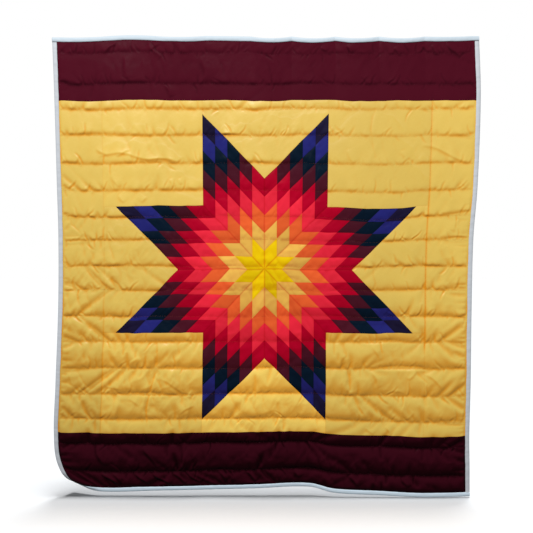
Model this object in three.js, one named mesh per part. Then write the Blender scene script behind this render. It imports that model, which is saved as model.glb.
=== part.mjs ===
// Star quilt blanket: an eight-pointed star pieced into a gold field between two maroon bands,
// quilted in level rows, bound in a pale strip and hung by its top edge.
// Millimetres, +Z up, front towards -Y. The origin is the middle of the top edge.
import * as THREE from "three";

// The quilt laid flat, measured from the middle of the star.
const HALF_WIDTH = 1030;
const HALF_HEIGHT = 1111;
const STAR_SIDE = 433;
const SIDE_SEAM = 800;
const BAND_SEAM = 805;
const BINDING_WIDTH = 21;

// Thicknesses, each half measured from the middle of the padding.
const STITCHED_HALF = 1.6;
const FRONT_CROWN = 8;
const BACK_CROWN = 5.5;
const BINDING_CLOTH = 1.3;
const BINDING_EASE = 0.5;
const SEAM_GAP = 0.3;
const CROWN_RUN_IN = 70;

// The way it hangs.
const WEIGHT_STRETCH = 1.012;
const SCALLOP_FADE = 150;
const SCALLOP_LEAN = 1.2;
const ROLL_LEAN = THREE.MathUtils.degToRad(30.8);
const ROLL_REACH = 94;
const ROLL_RADIUS = 51;

// Rows of quilting from the top down: the height of each line, and how full the channel under it is.
const QUILTING = [
  { height: 1032, full: 0.8 },
  { height: 884, full: 0.85 },
  { height: 763, full: 1.0 },
  { height: 639, full: 1.0 },
  { height: 506, full: 0.95 },
  { height: 378, full: 1.1 },
  { height: 254, full: 0.9 },
  { height: 141, full: 1.05 },
  { height: 15, full: 0.9 },
  { height: -100, full: 1.05 },
  { height: -227, full: 1.0 },
  { height: -351, full: 1.1 },
  { height: -480, full: 1.05 },
  { height: -611, full: 1.0 },
  { height: -738, full: 1.1 },
  { height: -863, full: 1.25 },
  { height: -1007, full: 1.1 },
];

// Points where the top edge is held, and the sag of the edge from each to the next.
const HELD = [
  { across: -985, lift: -1, sag: 3 },
  { across: -795, lift: 2, sag: -9 },
  { across: -526, lift: 5, sag: 7 },
  { across: -286, lift: 6, sag: 0 },
  { across: -66, lift: 3, sag: 13 },
  { across: 131, lift: 3, sag: 13 },
  { across: 340, lift: 2, sag: 13 },
  { across: 550, lift: 2, sag: 13 },
  { across: 769, lift: 3, sag: 4 },
  { across: 997, lift: 5, sag: 0 },
];

// How far each side edge stands out from its straight cut, by height.
const SIDES = [
  { height: 1111, left: -1, right: 9 },
  { height: 830, left: -15, right: 14 },
  { height: 400, left: -30, right: -4 },
  { height: 150, left: -38, right: -25 },
  { height: -180, left: -37, right: -33 },
  { height: -560, left: -22, right: -36 },
  { height: -805, left: -6, right: -37 },
  { height: -960, left: -13, right: -31 },
  { height: -1111, left: -74, right: -26 },
];

// The hem from left to right: how far it is drawn up, and how far it is set back.
const HEM = [
  { across: -1030, lift: 32, back: 70 },
  { across: -800, lift: 23, back: 70 },
  { across: -560, lift: 31, back: 70 },
  { across: -60, lift: 42, back: 74 },
  { across: 225, lift: 50, back: 76 },
  { across: 350, lift: 27, back: 52 },
  { across: 580, lift: 18, back: 40 },
  { across: 800, lift: 9, back: 36 },
  { across: 1030, lift: 12, back: 40 },
];

// The gentle belly of the hanging cloth.
const BELLY = [
  { height: 1111, forward: 0 },
  { height: 760, forward: 14 },
  { height: 150, forward: 26 },
  { height: -450, forward: 22 },
  { height: -1111, forward: 0 },
];

// Broad soft folds: where each lies, how it leans, and how far it stands forward.
const FOLDS = [
  { across: -930, height: 250, lean: 0.05, reach: 620, width: 120, forward: -9 },
  { across: -560, height: -420, lean: -0.1, reach: 520, width: 150, forward: 10 },
  { across: -330, height: 300, lean: 0.08, reach: 600, width: 170, forward: -7 },
  { across: 120, height: -250, lean: 0.06, reach: 700, width: 160, forward: 8 },
  { across: 520, height: 600, lean: -0.04, reach: 520, width: 150, forward: 8 },
  { across: 690, height: -350, lean: 0.1, reach: 560, width: 150, forward: -9 },
  { across: 930, height: -100, lean: -0.05, reach: 700, width: 110, forward: -8 },
];

// Places where the weight draws the piecing out of true.
const DRIFTS = [
  { across: 520, height: 300, reach: 260, up: -17 },
  { across: -760, height: 300, reach: 240, up: -7 },
  { across: -800, height: -820, reach: 300, up: 8 },
];

const STAR_TIP = STAR_SIDE * (1 + Math.SQRT1_2);
const STAR_HALF = STAR_SIDE * Math.SQRT1_2;

// A smooth curve through the rows of a table.
function curveThrough(rows, key, value) {
  const sorted = [...rows].sort((a, b) => a[key] - b[key]);
  const at = sorted.map((row) => row[key]);
  const is = sorted.map((row) => row[value]);
  const last = at.length - 1;
  const slope = at.map((_, i) => {
    const before = Math.max(i - 1, 0);
    const after = Math.min(i + 1, last);
    return (is[after] - is[before]) / (at[after] - at[before]);
  });
  return (x) => {
    const held = THREE.MathUtils.clamp(x, at[0], at[last]);
    let i = 0;
    while (i < last - 1 && held > at[i + 1]) i += 1;
    const span = at[i + 1] - at[i];
    const t = (held - at[i]) / span;
    const rise = t * t * (3 - 2 * t);
    const leave = t * (1 - t) * (1 - t) * span;
    const arrive = t * t * (t - 1) * span;
    return is[i] + (is[i + 1] - is[i]) * rise + slope[i] * leave + slope[i + 1] * arrive;
  };
}

const leftOut = curveThrough(SIDES, "height", "left");
const rightOut = curveThrough(SIDES, "height", "right");
const hemLift = curveThrough(HEM, "across", "lift");
const hemBack = curveThrough(HEM, "across", "back");
const belly = curveThrough(BELLY, "height", "forward");

// The lift and the sag of the top edge at one place across.
function topEdge(u) {
  const last = HELD.length - 1;
  const held = THREE.MathUtils.clamp(u, HELD[0].across, HELD[last].across);
  let i = 0;
  while (i < last - 1 && held > HELD[i + 1].across) i += 1;
  const t = (held - HELD[i].across) / (HELD[i + 1].across - HELD[i].across);
  const sag = HELD[i].sag * 4 * t * (1 - t);
  return { lift: THREE.MathUtils.lerp(HELD[i].lift, HELD[i + 1].lift, t), sag };
}

// The lower left corner curls back round a soft roll that leans down to the right.
function curlCorner(u, v) {
  const across = -Math.sin(ROLL_LEAN);
  const up = -Math.cos(ROLL_LEAN);
  const run = ROLL_REACH + across * (u + HALF_WIDTH) + up * (v + HALF_HEIGHT);
  if (run <= 0) return { u, v, back: 0 };
  const angle = run / ROLL_RADIUS;
  const drawn = ROLL_RADIUS * Math.sin(angle) - run;
  return { u: u + across * drawn, v: v + up * drawn, back: ROLL_RADIUS * (1 - Math.cos(angle)) };
}

function bump(x) {
  return Math.exp(-x * x);
}

// The middle of the padding at one flat place as it drapes, from where the star's middle would lie.
function drape(flatU, flatV) {
  const { u, v, back } = curlCorner(flatU, flatV);
  const side = u < 0 ? leftOut(v) : rightOut(v);
  const low = Math.pow(Math.max(-v, 0) / HALF_HEIGHT, 1.6);
  const hem = Math.pow(Math.max(-v - 0.42 * HALF_HEIGHT, 0) / (0.58 * HALF_HEIGHT), 1.7);
  const edge = topEdge(u);
  const fromTop = HALF_HEIGHT - v;
  const scallop = Math.exp(-Math.max(fromTop, 0) / SCALLOP_FADE);
  const x = u * (1 + side / HALF_WIDTH);
  let y = hemBack(u) * hem - belly(v) - SCALLOP_LEAN * edge.sag * scallop + back;
  let z = v * WEIGHT_STRETCH + hemLift(u) * low + (edge.lift - edge.sag) * scallop;
  for (const fold of FOLDS) {
    const along = v - fold.height;
    const aside = u - fold.across - fold.lean * along;
    y -= fold.forward * bump(aside / fold.width) * bump(along / fold.reach);
  }
  for (const drift of DRIFTS) {
    const off = Math.hypot(u - drift.across, v - drift.height);
    z += drift.up * bump(off / drift.reach);
  }
  return new THREE.Vector3(x, y, z);
}

const TOP_MIDDLE = drape(0, HALF_HEIGHT);

// The same place measured from the middle of the top edge.
function hang(u, v) {
  return drape(u, v).sub(TOP_MIDDLE);
}

// The direction the front faces at one flat place.
function facing(u, v) {
  const step = 2;
  const across = hang(u + step, v).sub(hang(u - step, v));
  const up = hang(u, v + step).sub(hang(u, v - step));
  return across.cross(up).normalize();
}

// How far the padding swells at one flat place, from none on a stitched line to one on a full crown.
function swell(u, v) {
  const inside = Math.min(HALF_WIDTH - Math.abs(u), HALF_HEIGHT - Math.abs(v)) - BINDING_WIDTH;
  if (inside <= 0) return 0;
  const bounds = [{ height: HALF_HEIGHT - BINDING_WIDTH, full: 0.5 }, ...QUILTING];
  const i = bounds.findLastIndex((line) => line.height >= v);
  const under = bounds[i + 1] ? bounds[i + 1].height : BINDING_WIDTH - HALF_HEIGHT;
  const t = (bounds[i].height - v) / (bounds[i].height - under);
  const crown = Math.pow(Math.max(Math.sin(Math.PI * Math.pow(t, 1.15)), 0), 0.8);
  const fromSide = Math.min((HALF_WIDTH - Math.abs(u) - BINDING_WIDTH) / CROWN_RUN_IN, 1);
  return crown * bounds[i].full * Math.sin((Math.PI / 2) * fromSide);
}

// A point of a solid, kept with its flat place so that neighbours share their folds.
function pointAt(u, v, offset) {
  return { u, v, at: hang(u, v).addScaledVector(facing(u, v), offset) };
}

// Gathers triangles into one closed surface.
class Surface {
  constructor() {
    this.points = [];
    this.faces = [];
    this.known = new Map();
  }

  index(point) {
    const key = point.at.toArray().map((c) => c.toFixed(3)).join(" ");
    if (!this.known.has(key)) {
      this.known.set(key, this.points.length);
      this.points.push(point.at);
    }
    return this.known.get(key);
  }

  triangle(a, b, c) {
    const face = [a, b, c].map((point) => this.index(point));
    if (new Set(face).size === 3) this.faces.push(face);
  }

  // Every four-sided patch is split from its lower left to its upper right.
  patch(a, b, c, d) {
    if ((a.u - c.u) * (a.v - c.v) > 0 || (b.u - d.u) * (b.v - d.v) === 0) {
      this.triangle(a, b, c);
      this.triangle(a, c, d);
    } else {
      this.triangle(b, c, d);
      this.triangle(b, d, a);
    }
  }

  geometry() {
    const six = this.faces.map(([a, b, c]) => {
      const cross = this.points[b].clone().cross(this.points[c]);
      return this.points[a].dot(cross);
    });
    const outwards = six.reduce((sum, part) => sum + part, 0) > 0;
    const order = this.faces.flatMap(([a, b, c]) => (outwards ? [a, b, c] : [a, c, b]));
    const made = new THREE.BufferGeometry();
    made.setFromPoints(this.points);
    made.setIndex(order);
    made.computeVertexNormals();
    return made;
  }
}

// Levels across and up that all pieces share, so that both sides of a seam have the same points.
function between(from, to, count) {
  return Array.from({ length: count }, (_, i) => from + ((to - from) * (i + 1)) / count);
}

const INNER_WIDTH = HALF_WIDTH - BINDING_WIDTH;
const INNER_HEIGHT = HALF_HEIGHT - BINDING_WIDTH;
const COLUMNS = [
  -HALF_WIDTH,
  -INNER_WIDTH,
  ...between(-INNER_WIDTH, -SIDE_SEAM, 6),
  -STAR_TIP,
  ...between(-STAR_TIP, -STAR_HALF, 4),
  ...between(-STAR_HALF, 0, 3),
  ...between(0, STAR_HALF, 3),
  ...between(STAR_HALF, STAR_TIP, 4),
  SIDE_SEAM,
  ...between(SIDE_SEAM, INNER_WIDTH, 2),
  HALF_WIDTH,
];

const SEAM_LEVELS = [BAND_SEAM, STAR_TIP, STAR_SIDE, STAR_HALF, 0].flatMap((v) => [v, -v]);
const LEVELS = shareLevels();

function shareLevels() {
  const lines = [INNER_HEIGHT, ...QUILTING.map((line) => line.height), -INNER_HEIGHT];
  const fixed = [HALF_HEIGHT, -HALF_HEIGHT, ...SEAM_LEVELS, ...lines];
  const crowns = lines.slice(1).flatMap((under, i) => {
    const tall = lines[i] - under;
    const rolled = i === lines.length - 2;
    const shares = tall < 90 && !rolled ? [0.5] : [0.22, 0.55, 0.84];
    return shares.map((t) => lines[i] - tall * t);
  });
  const clear = crowns.filter((v) => fixed.every((other) => Math.abs(other - v) > 10));
  return [...new Set([...fixed, ...clear])].sort((a, b) => a - b);
}

// A piece's flat outline, drawn in by half the gap at its seams.
function drawIn(outline) {
  const sides = outline.map((a, i) => {
    const b = outline[(i + 1) % outline.length];
    const along = b.clone().sub(a).normalize();
    const inwards = new THREE.Vector2(-along.y, along.x);
    return { from: a.clone().addScaledVector(inwards, SEAM_GAP / 2), along };
  });
  return sides.map((side, i) => {
    const before = sides[(i + sides.length - 1) % sides.length];
    const to = side.from.clone().sub(before.from);
    const run = to.cross(side.along) / before.along.cross(side.along);
    return before.from.clone().addScaledVector(before.along, run);
  });
}

// The span of an outline at one level.
function spanAt(outline, v) {
  const met = outline.flatMap((a, i) => {
    const b = outline[(i + 1) % outline.length];
    if (Math.abs(a.y - v) < 1e-6) return [a.x];
    if ((a.y - v) * (b.y - v) >= 0) return [];
    return [a.x + ((b.x - a.x) * (v - a.y)) / (b.y - a.y)];
  });
  return [Math.min(...met), Math.max(...met)];
}

// One padded piece: its flat outline sliced at the shared levels, given its front and its back.
function paddedPiece(outline, shares) {
  const cut = drawIn(outline);
  const corners = cut.map((corner) => corner.y);
  const low = Math.min(...corners);
  const high = Math.max(...corners);
  const own = corners.filter((y, i) => corners.findIndex((c) => Math.abs(c - y) < 1e-3) === i);
  const shared = LEVELS.filter(
    (v) => v > low && v < high && own.every((y) => Math.abs(y - v) > 1),
  );
  const levels = [...own, ...shared].sort((a, b) => a - b);
  const rows = levels.map((v) => {
    const [from, to] = spanAt(cut, v);
    return shares.map((share) => {
      const u = from + (to - from) * share;
      const full = swell(u, v);
      return {
        front: pointAt(u, v, STITCHED_HALF + FRONT_CROWN * full),
        back: pointAt(u, v, -STITCHED_HALF - BACK_CROWN * full),
      };
    });
  });
  const surface = new Surface();
  const top = rows.length - 1;
  const right = shares.length - 1;
  for (let i = 0; i < top; i += 1) {
    const [lower, upper] = [rows[i], rows[i + 1]];
    for (let j = 0; j < right; j += 1) {
      surface.patch(lower[j].front, lower[j + 1].front, upper[j + 1].front, upper[j].front);
      surface.patch(lower[j].back, upper[j].back, upper[j + 1].back, lower[j + 1].back);
    }
    surface.patch(upper[0].front, upper[0].back, lower[0].back, lower[0].front);
    surface.patch(lower[right].front, lower[right].back, upper[right].back, upper[right].front);
  }
  for (let j = 0; j < right; j += 1) {
    const [a, b] = [rows[0][j], rows[0][j + 1]];
    const [c, d] = [rows[top][j], rows[top][j + 1]];
    surface.patch(a.back, b.back, b.front, a.front);
    surface.patch(c.front, d.front, d.back, c.back);
  }
  return surface.geometry();
}

// Binding folded over an edge: places along the edge, each with the way in from it.
function foldedBinding(places, inwards) {
  const inner = STITCHED_HALF + BINDING_EASE;
  const outer = inner + BINDING_CLOTH;
  const overhang = SEAM_GAP + BINDING_CLOTH;
  const section = [
    { in: BINDING_WIDTH, offset: inner },
    { in: -SEAM_GAP, offset: inner },
    { in: -SEAM_GAP, offset: -inner },
    { in: BINDING_WIDTH, offset: -inner },
    { in: BINDING_WIDTH, offset: -outer },
    { in: -overhang, offset: -outer },
    { in: -overhang, offset: outer },
    { in: BINDING_WIDTH, offset: outer },
  ];
  const rings = places.map((place) =>
    section.map((corner) => {
      const flat = place.clone().addScaledVector(inwards, corner.in);
      return pointAt(flat.x, flat.y, corner.offset);
    }),
  );
  const surface = new Surface();
  for (let i = 0; i + 1 < rings.length; i += 1) {
    section.forEach((_, j) => {
      const next = (j + 1) % section.length;
      surface.patch(rings[i][j], rings[i + 1][j], rings[i + 1][next], rings[i][next]);
    });
  }
  const first = rings[0];
  const last = rings[rings.length - 1];
  for (const [a, b, c, d] of [[0, 1, 6, 7], [1, 2, 5, 6], [2, 3, 4, 5]]) {
    surface.patch(first[a], first[b], first[c], first[d]);
    surface.patch(last[d], last[c], last[b], last[a]);
  }
  return surface.geometry();
}

function rectangle(left, low, right, high) {
  return [[left, low], [right, low], [right, high], [left, high]].map(
    ([u, v]) => new THREE.Vector2(u, v),
  );
}

function starPoint(eighth) {
  const first = new THREE.Vector2(STAR_SIDE, 0).rotateAround(
    new THREE.Vector2(),
    (eighth * Math.PI) / 4,
  );
  const second = first.clone().rotateAround(new THREE.Vector2(), Math.PI / 4);
  return [new THREE.Vector2(), first, first.clone().add(second), second];
}

function setTriangle(seam, quarter) {
  const upright = [
    [0, STAR_SIDE],
    [STAR_HALF, STAR_TIP],
    [STAR_HALF, seam],
    [-STAR_HALF, seam],
    [-STAR_HALF, STAR_TIP],
  ];
  const turn = (quarter * Math.PI) / 2;
  return upright.map(([u, v]) => {
    const corner = new THREE.Vector2(u, v);
    return corner.rotateAround(new THREE.Vector2(), turn);
  });
}

function cornerSquare(right, up) {
  const [left, far] = [STAR_HALF * right, SIDE_SEAM * right].sort((a, b) => a - b);
  const [low, high] = [STAR_HALF * up, BAND_SEAM * up].sort((a, b) => a - b);
  return rectangle(left, low, far, high);
}

function sharesOf(left, right) {
  const inside = COLUMNS.filter((u) => u > left + 1e-6 && u < right - 1e-6);
  return [left, ...inside, right].map((u) => (u - left) / (right - left));
}

function evenShares(count) {
  return [0, ...between(0, 1, count)];
}

const CLOTHS = {
  maroon: { color: 0x561626, roughness: 0.45 },
  gold: { color: 0xe0b155, roughness: 0.42 },
  star: { color: 0xb21230, roughness: 0.42 },
  pale: { color: 0xc8d4de, roughness: 0.5 },
};

const quilt = new THREE.Group();
quilt.name = "star_quilt_blanket";

function addPiece(name, cloth, geometry) {
  const mesh = new THREE.Mesh(geometry, new THREE.MeshStandardMaterial(CLOTHS[cloth]));
  mesh.name = name;
  quilt.add(mesh);
}

const bandShares = sharesOf(-HALF_WIDTH, HALF_WIDTH);
const bandTop = rectangle(-HALF_WIDTH, BAND_SEAM, HALF_WIDTH, HALF_HEIGHT);
const bandBottom = rectangle(-HALF_WIDTH, -HALF_HEIGHT, HALF_WIDTH, -BAND_SEAM);
addPiece("band_top", "maroon", paddedPiece(bandTop, bandShares));
addPiece("band_bottom", "maroon", paddedPiece(bandBottom, bandShares));

const stripLeft = rectangle(-HALF_WIDTH, -BAND_SEAM, -SIDE_SEAM, BAND_SEAM);
const stripRight = rectangle(SIDE_SEAM, -BAND_SEAM, HALF_WIDTH, BAND_SEAM);
addPiece("side_strip_left", "gold", paddedPiece(stripLeft, sharesOf(-HALF_WIDTH, -SIDE_SEAM)));
addPiece("side_strip_right", "gold", paddedPiece(stripRight, sharesOf(SIDE_SEAM, HALF_WIDTH)));

for (const [rowName, up] of [["top", 1], ["bottom", -1]]) {
  for (const [sideName, right] of [["left", -1], ["right", 1]]) {
    const ends = [STAR_HALF * right, SIDE_SEAM * right].sort((a, b) => a - b);
    const square = paddedPiece(cornerSquare(right, up), sharesOf(...ends));
    addPiece(`corner_square_${rowName}_${sideName}`, "gold", square);
  }
}

["top", "left", "bottom", "right"].forEach((name, quarter) => {
  const level = quarter % 2 === 1;
  const outline = setTriangle(level ? SIDE_SEAM : BAND_SEAM, quarter);
  const shares = level ? evenShares(4) : sharesOf(-STAR_HALF, STAR_HALF);
  addPiece(`set_triangle_${name}`, "gold", paddedPiece(outline, shares));
});

for (let eighth = 0; eighth < 8; eighth += 1) {
  const lying = [0, 3, 4, 7].includes(eighth);
  const point = paddedPiece(starPoint(eighth), evenShares(lying ? 4 : 3));
  addPiece(`star_point_${eighth + 1}`, "star", point);
}

const overEnd = HALF_WIDTH + SEAM_GAP + BINDING_CLOTH;
const acrossEdge = [-overEnd, ...COLUMNS, overEnd];
const upEdge = LEVELS.filter((v) => Math.abs(v) < INNER_HEIGHT);
const sideEnd = INNER_HEIGHT - SEAM_GAP;
const besideEdge = [-sideEnd, ...upEdge, sideEnd];
const topPlaces = acrossEdge.map((u) => new THREE.Vector2(u, HALF_HEIGHT));
const bottomPlaces = acrossEdge.map((u) => new THREE.Vector2(u, -HALF_HEIGHT));
const leftPlaces = besideEdge.map((v) => new THREE.Vector2(-HALF_WIDTH, v));
const rightPlaces = besideEdge.map((v) => new THREE.Vector2(HALF_WIDTH, v));
addPiece("binding_top", "pale", foldedBinding(topPlaces, new THREE.Vector2(0, -1)));
addPiece("binding_bottom", "pale", foldedBinding(bottomPlaces, new THREE.Vector2(0, 1)));
addPiece("binding_left", "pale", foldedBinding(leftPlaces, new THREE.Vector2(1, 0)));
addPiece("binding_right", "pale", foldedBinding(rightPlaces, new THREE.Vector2(-1, 0)));

export default quilt;
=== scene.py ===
"""Looks of the star quilt blanket, dressed over its solids in the same frame.

Flat places are (u, v) in millimetres from the middle of the star, u to the right and v up.
Meshes are in metres, with the front of the quilt towards -Y and its top edge at the origin.
"""

import math
from collections import namedtuple

import bpy
import numpy as np
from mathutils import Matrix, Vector


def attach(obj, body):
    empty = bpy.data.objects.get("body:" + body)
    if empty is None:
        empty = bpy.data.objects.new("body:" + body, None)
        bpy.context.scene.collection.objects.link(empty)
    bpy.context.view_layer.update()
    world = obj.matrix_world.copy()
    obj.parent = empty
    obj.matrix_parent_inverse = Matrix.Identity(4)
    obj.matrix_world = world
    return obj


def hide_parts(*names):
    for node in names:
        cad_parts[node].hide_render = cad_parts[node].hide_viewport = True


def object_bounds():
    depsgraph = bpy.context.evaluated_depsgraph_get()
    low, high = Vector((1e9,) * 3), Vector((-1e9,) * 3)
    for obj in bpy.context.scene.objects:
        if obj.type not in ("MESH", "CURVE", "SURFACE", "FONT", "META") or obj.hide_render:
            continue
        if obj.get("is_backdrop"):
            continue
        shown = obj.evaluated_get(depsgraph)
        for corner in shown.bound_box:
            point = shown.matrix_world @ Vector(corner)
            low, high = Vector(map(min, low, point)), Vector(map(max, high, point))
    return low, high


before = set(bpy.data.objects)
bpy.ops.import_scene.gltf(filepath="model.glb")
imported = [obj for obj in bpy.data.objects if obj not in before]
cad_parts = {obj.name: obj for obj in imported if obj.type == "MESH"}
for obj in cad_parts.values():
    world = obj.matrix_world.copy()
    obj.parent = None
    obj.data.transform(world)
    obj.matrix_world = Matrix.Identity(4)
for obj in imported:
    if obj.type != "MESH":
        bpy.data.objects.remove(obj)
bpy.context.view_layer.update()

MM = 0.001
SEED = 11


def rows(columns, *values):
    """A short table with named columns."""
    row = namedtuple("row", columns)
    return [row(*value) for value in values]


def column(table, name):
    return np.array([getattr(row, name) for row in table], float)


# The quilt laid flat.
HALF_WIDTH = 1030.0
HALF_HEIGHT = 1111.0
STAR_SIDE = 433.0
SIDE_SEAM = 800.0
BAND_SEAM = 805.0
BINDING_WIDTH = 21.0
STAR_HALF = STAR_SIDE * math.sqrt(0.5)
STAR_TIP = STAR_SIDE + STAR_HALF
INNER_WIDTH = HALF_WIDTH - BINDING_WIDTH
INNER_HEIGHT = HALF_HEIGHT - BINDING_WIDTH
DIAMONDS = 5

# Half the thickness on a row of quilting, and the thickness of a cloth.
STITCHED_HALF = 1.6
CLOTH = 1.0

# Steps of the meshes: between points, in a diamond, how many make one on the hidden side, and the share of
# one between an edge and the line that keeps it crisp.
MESH_STEP = 4.3
PER_DIAMOND = 20
HIDDEN_EVERY = 4
RING = 0.08

# The way it hangs.
WEIGHT_STRETCH = 1.012
LOW_POWER = 1.6
HEM_FROM = 0.42
HEM_SPAN = 0.58
HEM_POWER = 1.7
SCALLOP_FADE = 150.0
SCALLOP_LEAN = 1.2
ROLL_LEAN = math.radians(30.8)
ROLL_REACH = 94.0
ROLL_RADIUS = 51.0

# Rows of quilting down the front, and how full the channel under each one is.
QUILTING = rows(
    "height full",
    (1032, 0.8), (884, 0.85), (763, 1.0), (639, 1.0), (506, 0.95), (378, 1.1), (254, 0.9),
    (141, 1.05), (15, 0.9), (-100, 1.05), (-227, 1.0), (-351, 1.1), (-480, 1.05), (-611, 1.0),
    (-738, 1.1), (-863, 1.25), (-1007, 1.1),
)

CHANNEL_LINES = np.array(sorted([INNER_HEIGHT, *column(QUILTING, "height"), -INNER_HEIGHT]))

# Where the top edge is held, how far the sides stand out, how the hem lifts and is set back, how far the
# middle stands forward, broad folds, and places that hang higher or lower.
HELD = rows(
    "across lift sag",
    (-985, -1, 3), (-795, 2, -9), (-526, 5, 7), (-286, 6, 0), (-66, 3, 13), (131, 3, 13),
    (340, 2, 13), (550, 2, 13), (769, 3, 4), (997, 5, 0),
)

SIDES = rows(
    "height left right",
    (1111, -1, 9), (830, -15, 14), (400, -30, -4), (150, -38, -25), (-180, -37, -33),
    (-560, -22, -36), (-805, -6, -37), (-960, -13, -31), (-1111, -74, -26),
)

HEM = rows(
    "across lift back",
    (-1030, 32, 70), (-800, 23, 70), (-560, 31, 70), (-60, 42, 74), (225, 50, 76), (350, 27, 52),
    (580, 18, 40), (800, 9, 36), (1030, 12, 40),
)

BELLY = rows(
    "height forward",
    (1111, 0), (760, 14), (150, 26), (-450, 22), (-1111, 0),
)

FOLDS = rows(
    "across height lean reach width forward",
    (-930, 250, 0.05, 620, 120, -9),
    (-560, -420, -0.1, 520, 150, 10),
    (-330, 300, 0.08, 600, 170, -7),
    (120, -250, 0.06, 700, 160, 8),
    (520, 600, -0.04, 520, 150, 8),
    (690, -350, 0.1, 560, 150, -9),
    (930, -100, -0.05, 700, 110, -8),
)

DRIFTS = rows(
    "across height reach up",
    (520, 300, 260, -17),
    (-760, 300, 240, -7),
    (-800, -820, 300, 8),
)

# How much longer the front cloth is cut down each channel, how much the rows of quilting gather it
# across, how far each row drags it sideways, and how far a row wanders from level.
PUFF = 0.024
GATHER = 0.006
DRAG = 0.8
WANDER = 4.0

# The star beside the field: how full its channels are, how far inside its edge that is reached, how much
# deeper its seams are sunk, how high its small wrinkles stand, and the painted shade along its points'
# edges.
STAR_FULL = 0.34
STAR_EASE = 60.0
STAR_SUNK = 2.4
STAR_WRINKLED = 1.2
STAR_EDGE_SHADE = 0.5
STAR_EDGE_SHADE_WIDE = 3.0

# How high the padding stands before the cloth holds it flat, how much it sags to the low side of each
# channel, and how much painted shade, a deeper colour, lies on level cloth, by height.
PADDING = rows(
    "height press sag shade",
    (1111, 4.2, 0.95, 0.0),
    (300, 4.2, 0.95, 0.0),
    (-60, 6.0, 0.8, 0.05),
    (-300, 16.0, 0.35, 0.1),
    (-500, 24.0, 0.25, 0.14),
    (-780, 24.0, 0.25, 0.14),
    (-870, 26.0, 0.15, 0.14),
    (-1111, 26.0, 0.15, 0.14),
)

# Where the satin is crumpled between the rows, and by how much.
CRUMPLED = rows(
    "across height wide tall amount",
    (-560, -560, 330, 270, 5.0),
    (560, -560, 330, 270, 3.0),
    (-910, -300, 130, 500, 4.0),
    (900, -200, 130, 600, 2.0),
    (0, -690, 260, 160, 4.5),
    (-650, 0, 260, 220, 3.0),
    (-560, 560, 330, 260, 1.4),
    (560, 560, 330, 260, 0.8),
    (0, 690, 260, 150, 1.5),
    (0, 1000, 1100, 110, 1.6),
    (0, -1000, 1100, 130, 4.5),
)

# Cells of wrinkles, each a width, a height and a lean, in pairs that cross: broad and small ones where the
# satin is crumpled, and those on the star.
BROAD_WRINKLES = ((48, 120, 0.3), (62, 150, -0.45))
SMALL_WRINKLES = ((26, 60, 0.2), (31, 45, -0.6))
SMALL_SHARE = 0.4
STAR_WRINKLES = ((36, 54, 0.5), (44, 40, -0.6))

# Where the channels lie flatter than elsewhere, and by what share.
EASED = rows(
    "across height wide tall share",
    (590, 590, 360, 330, 0.68),
    (350, 960, 1000, 130, 0.5),
)

# Puckers along the rows of quilting: the steps between them, their lengths, widths and depths, how far they
# lean, and the share of their depth by how much the cloth is gathered.
PUCKER_STEP = (9.0, 44.0)
PUCKER_LONG = (12.0, 70.0)
PUCKER_WIDE = (3.6, 6.2)
PUCKER_DEEP = (1.0, 3.0)
PUCKER_LEAN = 0.9
PUCKER_GATHER = (0, 0.006, 0.012)
PUCKER_SHARE = (0.3, 0.8, 1.3)

SLACK = rows(
    "across height wide tall gather drag",
    (-910, 0, 110, 800, 0.009, 1.6),
    (-560, -520, 260, 260, 0.006, 1.6),
    (560, -520, 300, 300, 0.005, 1.4),
    (900, -250, 140, 500, 0.004, 0.8),
    (520, 560, 260, 240, -0.003, -0.4),
    (0, 900, 1200, 110, -0.001, 0.2),
    (-350, -1050, 700, 60, 0.005, 2.6),
    (0, -900, 1000, 120, 0.002, 0.8),
)

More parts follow.
